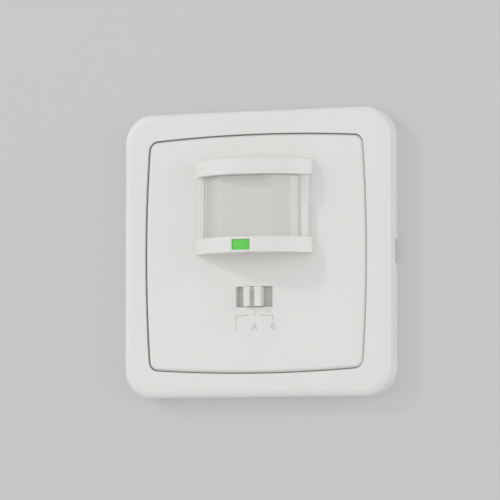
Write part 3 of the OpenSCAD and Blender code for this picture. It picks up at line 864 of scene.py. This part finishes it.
@dataclass
class CoverFrame:
    """The square cover frame with its rounded outside, bowed opening and pry notches."""

    outer: Extent = extent_of("cover_frame")
    opening: Opening = field(default_factory=Opening)
    corner_radius: float = 8.2
    edge_width: float = 2.6
    edge_depth: float = 1.6
    wall: float = 2.0
    ledge_width: float = 1.8
    ledge_thickness: float = 1.2
    lip_round: float = 0.08
    land: float = 1.0
    notch_width: float = 6.7
    notch_depth: float = 1.25
    corner_steps: int = 16
    edge_steps: int = 10

    def build(self) -> list[bpy.types.Object]:
        """Model the frame.

        Returns:
            Its piece.
        """
        shape = Shape()
        front = self.outer.low.y
        rim, foot = self.outside(shape)
        under = front + self.wall
        ledge_back = under + self.ledge_thickness
        path = (
            (-self.land, front),
            (0.0, front),
            (0.0, under),
            (self.ledge_width, under),
            (self.ledge_width, ledge_back),
            (-self.wall, ledge_back),
            (-self.wall, under),
        )
        rings = [self.opening.outline(shape, inset, y) for inset, y in path]
        for first, second in zip(rings, rings[1:]):
            shape.bridge(first, second)
        land, mouth, *_, last = rings
        shape.cap([rim, land])
        skirt_foot, skirt_head = self.inside(shape, under)
        shape.bridge(foot, skirt_foot)
        shape.cap([skirt_head, last])
        shape.bevel(mouth, self.lip_round)
        for side in Side:
            self.notch(shape, side.value * self.outer.size.x / 2)
        return [shape.piece("cover_frame_shell", WHITE, Body.INSERT.value, Slot.WHITE, ["cover_frame"])]

    def rounded_block(self, shape: Shape, half: float, y: Span, radius: float) -> list[BMEdge]:
        """Add a block with rounded corners.

        Args:
            shape: The mesh that takes it.
            half: Half its width and height.
            y: Its reach from front to back.
            radius: The corners' radius.

        Returns:
            The edges round its front.
        """
        faces = shape.block((-half, half), y, (-half, half))
        along = [e for e in edges_of(faces) if abs(e.verts[0].co.y - e.verts[1].co.y) > NEAR]
        shape.bevel(along, radius, self.corner_steps)
        return list(shape.flat_face(y[0]).edges)

    def outside(self, shape: Shape) -> tuple[list[BMEdge], list[BMEdge]]:
        """Add the rounded outside to an empty mesh.

        Args:
            shape: The mesh, which is drawn out in depth while its front edge is rounded.

        Returns:
            The edges round its open front and round its open foot.
        """
        stretch = self.edge_width / self.edge_depth
        front = self.outer.low.y
        edges = self.rounded_block(shape, self.outer.size.x / 2, (front * stretch, 0.0), self.corner_radius)
        shape.bevel(edges, self.edge_width, self.edge_steps)
        bmesh.ops.scale(shape.bm, vec=(1.0, 1 / stretch, 1.0), verts=shape.bm.verts)
        return shape.open_face(front), shape.open_face(0.0)

    def inside(self, shape: Shape, head: float) -> tuple[list[BMEdge], list[BMEdge]]:
        """Add the inside of the skirt.

        Args:
            shape: The mesh that takes it.
            head: The depth at which it meets the front wall.

        Returns:
            The edges round its foot and round its head.
        """
        half = self.outer.size.x / 2 - self.wall
        self.rounded_block(shape, half, (head, 0.0), self.corner_radius - self.wall)
        return shape.open_face(0.0), shape.open_face(head)

    def notch(self, shape: Shape, x: float) -> None:
        """Cut the pry notch into one side of the skirt.

        Args:
            shape: The frame's mesh.
            x: The outer face of that side.
        """
        low, high = around(0.0, self.notch_width)
        roof = -self.notch_depth
        near = [f for f in shape.bm.faces if all(abs(v.co.x - x) < self.wall + NEAR for v in f.verts)]
        part = shape.slice(near, ((Axis.Z, low), (Axis.Z, high), (Axis.Y, roof)))
        spots = {face: face.calc_center_median() for face in part}
        gone = [f for f, spot in spots.items() if abs(spot.z) < high and spot.y > roof]
        bmesh.ops.delete(shape.bm, geom=gone, context="FACES")
        rim = [edge for edge in shape.bm.edges if edge.is_boundary]
        bmesh.ops.contextual_create(shape.bm, geom=at_depth(rim, roof))
        bmesh.ops.holes_fill(shape.bm, edges=[edge for edge in shape.bm.edges if edge.is_boundary], sides=4)


@dataclass
class CentrePlate:
    """The centre plate with its two bowed bars, cheek posts, lens window and slot."""

    outer: Extent = extent_of("centre_plate")
    lens: Extent = extent_of("fresnel_lens")
    guide: Extent = extent_of("light_guide")
    knob: Extent = extent_of("switch_knob")
    opening: Opening = field(default_factory=Opening)
    front: float = field(default_factory=front_plane)
    gap: float = 0.25
    thickness: float = 2.0
    edge_round: float = 1.2
    edge_steps: int = 8
    run_gap: float = 0.03
    window_half: float = 14.42
    bar_half: float = 17.42
    bar_height: float = 4.4
    bar_end: float = 0.75
    bar_round: float = 0.22
    bar_steps: int = 56
    pocket_depth: float = 1.6
    pocket_margin: float = 2.0
    pocket_round: float = 0.1
    guide_width: float = 5.4
    guide_height: float = 2.9
    post_width: float = 1.88
    post_reach: float = 1.9
    post_root: float = 1.0
    seat_width: float = 0.7
    seat_reach: float = 1.65
    slot_width: float = 10.94
    slot_height: float = 5.72
    slot_right: float = -0.12
    slot_rise: float = 0.06
    slot_round: float = 0.06
    slot_land: float = 1.0

    def build(self) -> list[bpy.types.Object]:
        """Model the plate.

        Returns:
            Its piece.
        """
        shape = Shape()
        self.plate(shape)
        low, high = self.window
        self.bar(shape, (low - self.bar_height, low), True)
        self.bar(shape, (high, high + self.bar_height), False)
        for side in Side:
            self.post(shape, side)
        return [shape.piece("centre_plate_shell", WHITE, Body.INSERT.value, Slot.WHITE, ["centre_plate"])]

    @property
    def window(self) -> Span:
        """The lens window's reach from bottom to top."""
        return self.lens.low.z - self.run_gap, self.lens.high.z + self.run_gap

    def plate(self, shape: Shape) -> None:
        """Add the flat plate with its rounded edge, lens window and slot.

        Args:
            shape: The mesh that takes it.
        """
        depths = (self.front, self.front + self.thickness)
        outline = self.opening.outline(shape, self.gap, self.front)
        face = bmesh.ops.contextual_create(shape.bm, geom=outline)["faces"]
        shape.extrude(face, (0.0, self.thickness, 0.0))
        shape.bevel(shape.flat_face(self.front).edges, self.edge_round, self.edge_steps)
        rims = [shape.open_face(y) for y in depths]
        across = (-self.window_half, self.window_half)
        windows = [shape.rectangle(across, self.window, y) for y in depths]
        x = around(self.slot_right, self.slot_width)
        z = around(self.knob.middle.z + self.slot_rise, self.slot_height)
        wide = [(low - self.slot_land, high + self.slot_land) for low, high in (x, z)]
        land = shape.rectangle(*wide, self.front)
        slots = [shape.rectangle(x, z, y) for y in depths]
        shape.cap([rims[0], windows[0], land])
        shape.cap([rims[1], windows[1], slots[1]])
        for first, second in ((land, slots[0]), slots, windows):
            shape.bridge(first, second)
        shape.bevel(slots[0], self.slot_round)

    def bar(self, shape: Shape, z: Span, pocketed: bool) -> None:
        """Add a bowed bar.

        Args:
            shape: The mesh that takes it.
            z: Its reach from bottom to top.
            pocketed: Whether it has the indicator's window.
        """
        sag = self.front - self.outer.low.y - self.bar_end
        radius = (self.bar_half**2 + sag**2) / (2 * sag)
        centre = (0.0, self.outer.low.y + radius, z[0])
        turn = 2 * math.asin(self.bar_half / radius)
        start = shape.bm.verts.new((-self.bar_half, self.front - self.bar_end, z[0]))
        before = set(shape.bm.edges)
        upright = Axis.Z.value
        bmesh.ops.spin(shape.bm, geom=[start], cent=centre, axis=upright, angle=turn, steps=self.bar_steps)
        arc = [edge for edge in shape.bm.edges if edge not in before]
        grown = bmesh.ops.extrude_edge_only(shape.bm, edges=arc)["geom"]
        for point in only(BMVert, grown):
            point.co.y = self.front + NEAR
        top = shape.extrude(only(BMFace, grown), (0.0, 0.0, z[1] - z[0]))
        bottom = {end for edge in arc for end in edge.verts}
        faces = {face for point in (*bottom, *top) for face in point.link_faces}
        shape.bm.normal_update()
        sharp = [
            edge
            for edge in edges_of(faces)
            if edge.is_manifold
            and edge.calc_face_angle(0.0) > SHARP
            and min(end.co.y for end in edge.verts) < self.front - NEAR
        ]
        if pocketed:
            self.pocket(shape, faces)
        shape.bevel([edge for edge in sharp if edge.is_valid], self.bar_round)

    def pocket(self, shape: Shape, faces: set[BMFace]) -> None:
        """Sink the indicator's window into the front of a bar.

        Args:
            shape: The bar's mesh.
            faces: The bar's faces.
        """
        x = around(0.0, self.guide_width + self.run_gap)
        z = around(self.guide.middle.z, self.guide_height + self.run_gap)
        reach = x[1] + self.pocket_margin
        deep = self.outer.low.y + self.pocket_depth
        front = {f: f.calc_center_median() for f in faces if abs(f.normal.y) > SQUARE}
        near = [f for f, spot in front.items() if abs(spot.x) < reach and spot.y < deep]
        part = shape.slice(near, [(Axis.X, level) for level in x] + [(Axis.Z, level) for level in z])
        spots = {face: face.calc_center_median() for face in part}
        sunk = [f for f, spot in spots.items() if x[0] < spot.x < x[1] and z[0] < spot.z < z[1]]
        mouth = [e for e in edges_of(sunk) if sum(face in sunk for face in e.link_faces) == 1]
        shape.draw_out(sunk, (0.0, self.pocket_depth, 0.0))
        shape.bevel([edge for edge in mouth if edge.is_valid], self.pocket_round, 2)

    def post(self, shape: Shape, side: Side) -> None:
        """Add a cheek post beside the lens, with the seat that the lens leans on.

        Args:
            shape: The mesh that takes it.
            side: The side that it stands on.
        """
        back = self.front + NEAR
        z = (self.window[0] - self.post_root, self.window[1] + self.post_root)
        seat = around(side.value * self.window_half, 2 * self.seat_width)
        shape.block(seat, (self.front - self.seat_reach, back), z)
        x = around(side.value * (self.window_half + self.post_width / 2), self.post_width)
        front = self.front - self.post_reach
        faces = shape.block(x, (front, back), z)
        shape.bevel(at_depth(edges_of(faces), front), self.bar_round)


@dataclass
class LensAndWindow:
    """The milky lens and the green indicator window."""

    plate: CentrePlate = field(default_factory=CentrePlate)
    lens_ease: float = 0.08
    facet_turn: float = math.radians(8.0)
    window_ease: float = 0.06
    window_sink: float = 0.2

    def build(self) -> list[bpy.types.Object]:
        """Model both.

        Returns:
            Their pieces.
        """
        lens, guide = Shape(), Shape()
        lens.carry_over("fresnel_lens")
        lens.ease(self.lens_ease, self.facet_turn)
        guide.carry_over("light_guide")
        self.fit_window(guide)
        guide.ease(self.window_ease)
        return [
            lens.piece("lens_facets", LENS, Body.INSERT.value, Slot.LENS, ["fresnel_lens"]),
            guide.piece("indicator_window", GREEN, Body.INSERT.value, Slot.GREEN, ["light_guide"]),
        ]

    def fit_window(self, guide: Shape) -> None:
        """Fill the pocket's width and height with the guide, and sink its front a little.

        Args:
            guide: The copy of the light guide.
        """
        plate = self.plate
        head = [point for point in guide.bm.verts if point.co.y < plate.front]
        width = 2 * max(point.co.x for point in head)
        size = (plate.guide_width / width, 1.0, plate.guide_height / plate.guide.size.z)
        middle = Matrix.Translation((0.0, 0.0, -plate.guide.middle.z))
        bmesh.ops.scale(guide.bm, vec=size, space=middle, verts=head)
        bmesh.ops.translate(guide.bm, vec=(0.0, self.window_sink, 0.0), verts=head)


@dataclass
class SlideKnob:
    """The slide's knob with two ridges, and the shutter behind it."""

    outer: Extent = extent_of("switch_knob")
    width: float = 5.04
    height: float = 5.44
    right: float = -0.08
    rise: float = 0.07
    ridge: float = 1.75
    ridge_round: float = 0.14
    groove: float = 1.8
    shutter: Span = (-3.9, -3.1)
    stem_width: float = 4.4
    stem_height: float = 3.8

    def build(self) -> list[bpy.types.Object]:
        """Model the knob.

        Returns:
            Its piece.
        """
        shape = Shape()
        level = self.outer.middle.z
        self.grip(shape, around(self.right, self.width), around(level + self.rise, self.height))
        shape.block(around(0.0, self.outer.size.x), self.shutter, around(level, self.outer.size.z))
        stem = (self.shutter[1], self.outer.high.y)
        shape.block(around(0.0, self.stem_width), stem, around(level, self.stem_height))
        return [shape.piece("slide_knob", WHITE, Body.KNOB.value, Slot.WHITE, ["switch_knob"])]

    def grip(self, shape: Shape, x: Span, z: Span) -> None:
        """Add the grip and draw its two ridges out.

        Args:
            shape: The mesh that takes it.
            x: The grip's reach from left to right.
            z: Its reach from bottom to top.
        """
        front = self.outer.low.y
        floor = front + self.groove
        shape.block(x, (floor, self.shutter[0]), z)
        cuts = ((Axis.X, x[0] + self.ridge), (Axis.X, x[1] - self.ridge))
        strips = shape.slice([shape.flat_face(floor)], cuts)
        for strip in [face for face in strips if abs(face.calc_center_median().x) > self.ridge / 2]:
            shape.draw_out([strip], (0.0, -self.groove, 0.0))
        shape.bm.normal_update()
        shape.bevel(at_depth(shape.bm.edges, front), self.ridge_round)


@dataclass
class Legend:
    """The raised marks under the slot: a bracket, and a point and a sign for each position."""

    front: float = field(default_factory=front_plane)
    relief: float = 0.1
    root: float = 0.2
    signs: Sequence[tuple[str, float]] = (("I", -5.55), ("A", 0.0), ("0", 5.55))
    sign_level: float = -20.5
    sign_height: float = 1.9
    sign_steps: int = 4
    capital_share: float = 0.7
    stroke_trim: float = 0.015
    least_edge: float = 0.005
    bracket_level: float = -17.25
    bracket_span: Span = (2.6, 5.55)
    tick: float = 1.5
    line_width: float = 0.22
    points: Sequence[float] = (-2.2, 0.0, 2.2)
    point_size: float = 0.45
    point_rise: float = 0.15

    def build(self) -> list[bpy.types.Object]:
        """Model the marks.

        Returns:
            Their piece.
        """
        shape = Shape()
        for sign, x in self.signs:
            self.sign(shape, sign, x)
        for side in Side:
            self.bracket(shape, side)
        level = around(self.bracket_level + self.point_rise, self.point_size)
        for x in self.points:
            shape.block(around(x, self.point_size), self.depth, level)
        # The marks' grey finish is painted shade for the shadow along their strokes
        return [shape.piece("slide_legend", MARKS_PAINTED_SHADE, Body.INSERT.value, Slot.WHITE)]

    @property
    def depth(self) -> Span:
        """The marks' reach from their front to their root in the plate."""
        return self.front - self.relief, self.front + self.root

    def sign(self, shape: Shape, sign: str, x: float) -> None:
        """Add a sign.

        Args:
            shape: The mesh that takes it.
            sign: Its letter or number.
            x: Its middle.
        """
        curve = bpy.data.curves.new("sign", "FONT")
        curve.body = sign
        curve.size = self.sign_height / self.capital_share
        curve.extrude = (self.relief + self.root) / 2
        curve.offset = -self.stroke_trim
        curve.resolution_u = self.sign_steps
        curve.align_x, curve.align_y = "CENTER", "CENTER"
        holder = bpy.data.objects.new("sign", curve)
        letters = bpy.data.meshes.new_from_object(holder)
        letters.transform(Matrix.Translation((x, sum(self.depth) / 2, self.sign_level)) @ TO_FRONT)
        shape.bm.from_mesh(letters)
        bmesh.ops.remove_doubles(shape.bm, verts=shape.bm.verts, dist=NEAR)
        bmesh.ops.dissolve_degenerate(shape.bm, dist=self.least_edge, edges=shape.bm.edges)
        bpy.data.meshes.remove(letters)
        bpy.data.objects.remove(holder)
        bpy.data.curves.remove(curve)

    def bracket(self, shape: Shape, side: Side) -> None:
        """Add one half of the bracket: a line, and the tick that hangs from its far end.

        Args:
            shape: The mesh that takes it.
            side: The side that it is on.
        """
        near, far = self.bracket_span
        half = self.line_width / 2
        low, high = sorted((side.value * near, side.value * (far + half)))
        line = shape.block((low, high), self.depth, around(self.bracket_level, self.line_width))
        part = shape.slice(line, [(Axis.X, side.value * (far - half))])
        shape.bm.normal_update()
        below = [face for face in part if face.normal.z < -SQUARE]
        tip = max(below, key=lambda face: abs(face.calc_center_median().x))
        shape.draw_out([tip], (0.0, 0.0, half - self.tick))


@dataclass
class CarriedNodes:
    """The CAD nodes that show as they are, or with their edges eased."""

    ease: float = 0.15
    eased: Sequence[str] = ("rear_housing", "terminal_block", "support_plate")

    def build(self) -> list[bpy.types.Object]:
        """Give every node its finish.

        Returns:
            The pieces that replace nodes.
        """
        made = []
        for entry in frame["record"]["subparts"]:
            node, slot = entry["node"], Slot(entry["material_slot"])
            part, finish = frame["nodes"][node], SLOT_FINISH[slot]
            if node in self.eased:
                shape = Shape()
                shape.carry_over(node)
                shape.ease(self.ease)
                made.append(shape.piece(node + "_eased", finish, part["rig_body"], slot, [node]))
            part.data.materials.clear()
            part.data.materials.append(finish.material())
            LOG.info("node %s: %s", node, finish.name)
        return made


def towards(azimuth: float, elevation: float) -> Vector:
    """The direction to a spot, in degrees to the right of the switch's front and up."""
    across, up = math.radians(azimuth), math.radians(elevation)
    return Vector((math.sin(across) * math.cos(up), -math.cos(across) * math.cos(up), math.sin(up)))


@dataclass(frozen=True)
class Lamp:
    """A square lamp that faces the switch: where it hangs, its side in metres and its power in watts."""

    name: str
    azimuth: float
    elevation: float
    side: float
    power: float
    distance: float = 2.0

    def hang(self) -> None:
        """Add the lamp to the scene."""
        data = bpy.data.lights.new(self.name, "AREA")
        data.size = self.side
        data.energy = self.power
        lamp = bpy.data.objects.new(self.name, data)
        away = towards(self.azimuth, self.elevation)
        lamp.location = away * self.distance
        lamp.rotation_mode = "QUATERNION"
        lamp.rotation_quaternion = (-away).to_track_quat("-Z", "Y")
        bpy.context.scene.collection.objects.link(lamp)


@dataclass
class Studio:
    """The wall, the floor, the lamps and the camera. The wall and the floor are given in metres."""

    look_at: Vector = field(default_factory=lambda: Vector((-1.3808, -6.0, 0.9937)))
    azimuth: float = 22.7375
    elevation: float = -3.8167
    distance: float = 1069.75
    focal_length: float = 276.87
    wall_size: float = 3.0
    wall_level: float = -0.00005
    floor_level: float = -0.9
    world_level: float = 0.47
    lamps: Sequence[Lamp] = (
        Lamp("key", -55.0, 30.0, 0.14, 6.6),
        Lamp("top", 10.0, 62.0, 1.0, 2.2),
        Lamp("front_left", -32.0, 5.0, 1.5, 5.0),
        Lamp("front_right", 28.0, 4.0, 1.5, 5.6),
        Lamp("left", -65.0, 8.0, 1.3, 7.6),
        Lamp("right", 74.0, 5.0, 1.3, 13.0),
        Lamp("rear", 150.0, 28.0, 1.0, 24.0),
    )

    def build(self) -> None:
        """Set the stage."""
        self.backdrop()
        self.world()
        for lamp in self.lamps:
            lamp.hang()
        self.camera()

    def backdrop(self) -> None:
        """Add the wall behind the switch and the floor below it."""
        wall = self.sheet("wall", WALL, Matrix.Translation((0.0, self.wall_level, 0.0)) @ TO_FRONT)
        floor = self.sheet("floor", FLOOR, Matrix.Translation((0.0, 0.0, self.floor_level)))

    def sheet(self, name: str, finish: Finish, place: Matrix) -> bpy.types.Object:
        """Add a flat sheet of the stage.

        Args:
            name: Its name.
            finish: Its finish.
            place: Where it lies.

        Returns:
            The sheet.
        """
        shape = Shape()
        bmesh.ops.create_grid(shape.bm, x_segments=1, y_segments=1, size=self.wall_size / 2, matrix=place)
        return shape.settle(name, finish)

    def world(self) -> None:
        """Light the room evenly from all sides."""
        world = bpy.data.worlds.new("studio")
        world.use_nodes = True
        sky = world.node_tree.nodes["Background"]
        sky.inputs["Color"].default_value = (1.0, 1.0, 1.0, 1.0)
        sky.inputs["Strength"].default_value = self.world_level
        bpy.context.scene.world = world
        bpy.context.scene.view_settings.view_transform = "Standard"

    def camera(self) -> None:
        """Stand the camera to the right of the switch and a little below it."""
        back = towards(self.azimuth, self.elevation)
        data = bpy.data.cameras.new("camera")
        data.lens = self.focal_length
        camera = bpy.data.objects.new("camera", data)
        camera.location = (self.look_at + back * self.distance) * MM
        camera.rotation_mode = "QUATERNION"
        camera.rotation_quaternion = (-back).to_track_quat("-Z", "Y")
        bpy.context.scene.collection.objects.link(camera)
        bpy.context.scene.camera = camera


def main() -> None:
    """Build the pieces, dress the nodes and set the stage."""
    logging.basicConfig(level=logging.INFO, format="%(message)s")
    for part in (CarriedNodes(), CoverFrame(), CentrePlate(), LensAndWindow(), SlideKnob(), Legend()):
        for piece in part.build():
            LOG.info("piece %s: %d faces", piece.name, len(piece.data.polygons))
    Studio().build()


if __name__ == "__main__":
    main()
